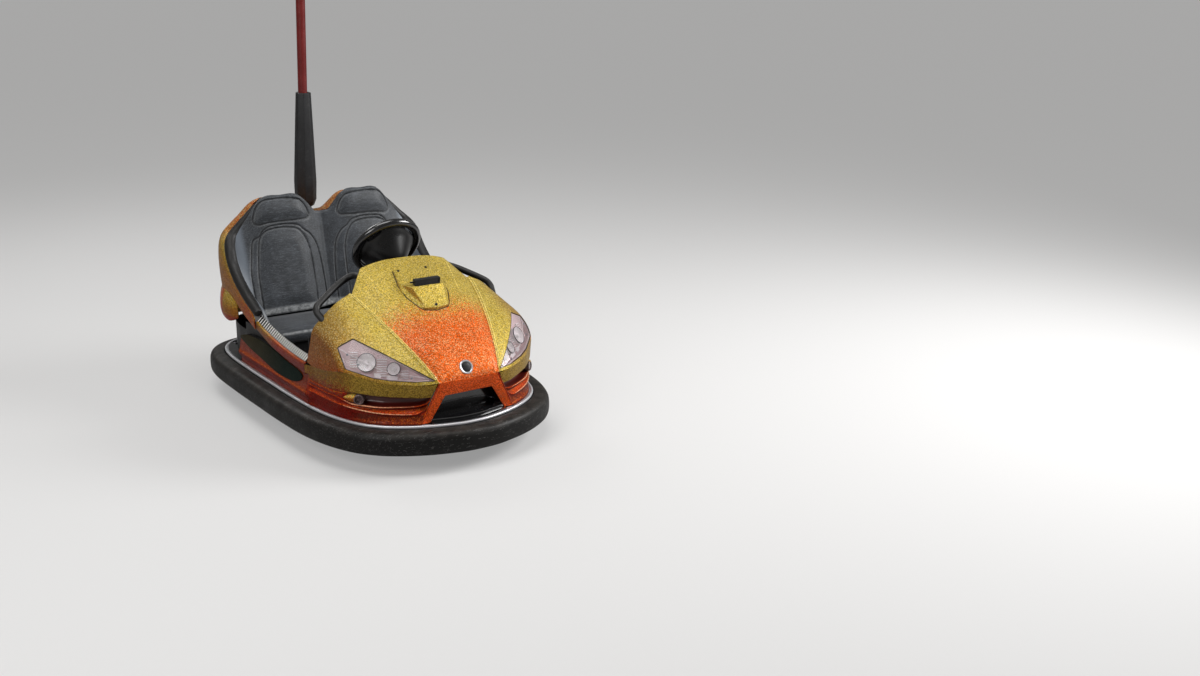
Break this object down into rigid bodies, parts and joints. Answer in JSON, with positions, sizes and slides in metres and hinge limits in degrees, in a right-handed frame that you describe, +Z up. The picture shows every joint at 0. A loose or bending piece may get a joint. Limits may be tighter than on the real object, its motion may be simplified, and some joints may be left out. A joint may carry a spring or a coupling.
{
  "type": "bumper car",
  "caption": "Two-seat fairground bumper car with a moulded flake-paint body, full rubber ring bumper, hooded nose with lamps and a rear current pole.",
  "frame": {"origin": "on the floor, below the middle of the rubber bumper ring", "axes": "+Z up, -Y towards the nose, +X towards the car's own left-hand side"},
  "size_m": [1.1812, 1.8961, 2.7],
  "materials": {
    "bumper_rubber": "scuffed charcoal rubber",
    "strip_metal": "bright trim strip",
    "frame_steel": "black painted steel",
    "bare_steel": "machined steel",
    "wheel_rubber": "solid rubber tread",
    "motor_case": "painted motor casing",
    "flake_gold": "metal flake lacquer on moulded shell",
    "flake_orange": "metal flake lacquer on moulded shell",
    "clear_lens": "clear moulded lens",
    "lamp_silver": "silvered lamp tray",
    "gloss_black": "gloss black moulding",
    "matt_black": "matt black moulding",
    "badge_chrome": "polished ring with a dark blank disc",
    "fog_clear": "round clear lamp with an amber side",
    "insert_green": "dark green gloss insert",
    "step_ribbed": "ribbed tread plate",
    "seat_skin": "charcoal moulded seat skin",
    "mat_rubber": "black floor rubber",
    "pole_red": "dark red painted tube",
    "contact_brass": "worn contact metal"
  },
  "bodies": {
    "chassis": {"bumper_tube": "bumper_rubber", "bumper_strip": "strip_metal", "chassis_frame": "frame_steel", "rear_brackets": "frame_steel", "front_shell": "flake_gold", "headlamp_lens_r": "clear_lens", "headlamp_lens_l": "clear_lens", "headlamp_bowls": "lamp_silver", "front_lip": "flake_orange", "fog_liners": "matt_black", "nose_frame": "flake_orange", "front_tray": "gloss_black", "badge_ring": "badge_chrome", "coin_box": "flake_gold", "coin_slot": "matt_black", "fog_lamps": "fog_clear", "side_sills": "flake_orange", "side_panels": "flake_orange", "side_inserts": "insert_green", "step_plates": "step_ribbed", "rear_shell": "flake_gold", "rear_skirt": "matt_black", "seat_back": "seat_skin", "seat_cushion": "seat_skin", "seat_base": "matt_black", "cockpit_liner": "matt_black", "footwell_mat": "mat_rubber", "toe_board": "matt_black", "dash_panel": "matt_black", "edge_rolls": "matt_black", "grab_handle_r": "gloss_black", "grab_handle_l": "gloss_black", "pedal": "bare_steel", "steering_column": "bare_steel", "pole_base": "frame_steel", "pole_boot": "matt_black"},
    "drive_unit": {"drive_fork": "frame_steel", "drive_motor": "motor_case"},
    "drive_wheel": {"drive_tyre": "wheel_rubber", "drive_hub": "bare_steel"},
    "rear_wheel_right": {"rear_wheel_r": "wheel_rubber"},
    "rear_wheel_left": {"rear_wheel_l": "wheel_rubber"},
    "steering": {"steering_wheel": "gloss_black"},
    "pole": {"pole_tube": "pole_red", "contact_shoe": "contact_brass"}
  },
  "joints": [
    {"name": "drive_swivel", "type": "hinge", "parent": "chassis", "child": "drive_unit", "pos_m": [0, -0.42, 0.33], "axis": [0, 0, 1], "continuous": true},
    {"name": "drive_spin", "type": "hinge", "parent": "drive_unit", "child": "drive_wheel", "pos_m": [0, -0.42, 0.1], "axis": [1, 0, 0], "continuous": true},
    {"name": "rear_spin_right", "type": "hinge", "parent": "chassis", "child": "rear_wheel_right", "pos_m": [-0.35, 0.52, 0.075], "axis": [1, 0, 0], "continuous": true},
    {"name": "rear_spin_left", "type": "hinge", "parent": "chassis", "child": "rear_wheel_left", "pos_m": [0.35, 0.52, 0.075], "axis": [1, 0, 0], "continuous": true},
    {"name": "steering_turn", "type": "hinge", "parent": "chassis", "child": "steering", "pos_m": [0, -0.095, 0.793], "axis": [0, 0.8192, 0.5736], "continuous": true},
    {"name": "pole_lift", "type": "slide", "parent": "chassis", "child": "pole", "axis": [0, -0.0593, 0.9982], "range_m": [-0.04, 0.06]}
  ],
  "couplings": [
    {"joint": "steering_turn", "follows": "drive_swivel", "ratio": 1}
  ]
}
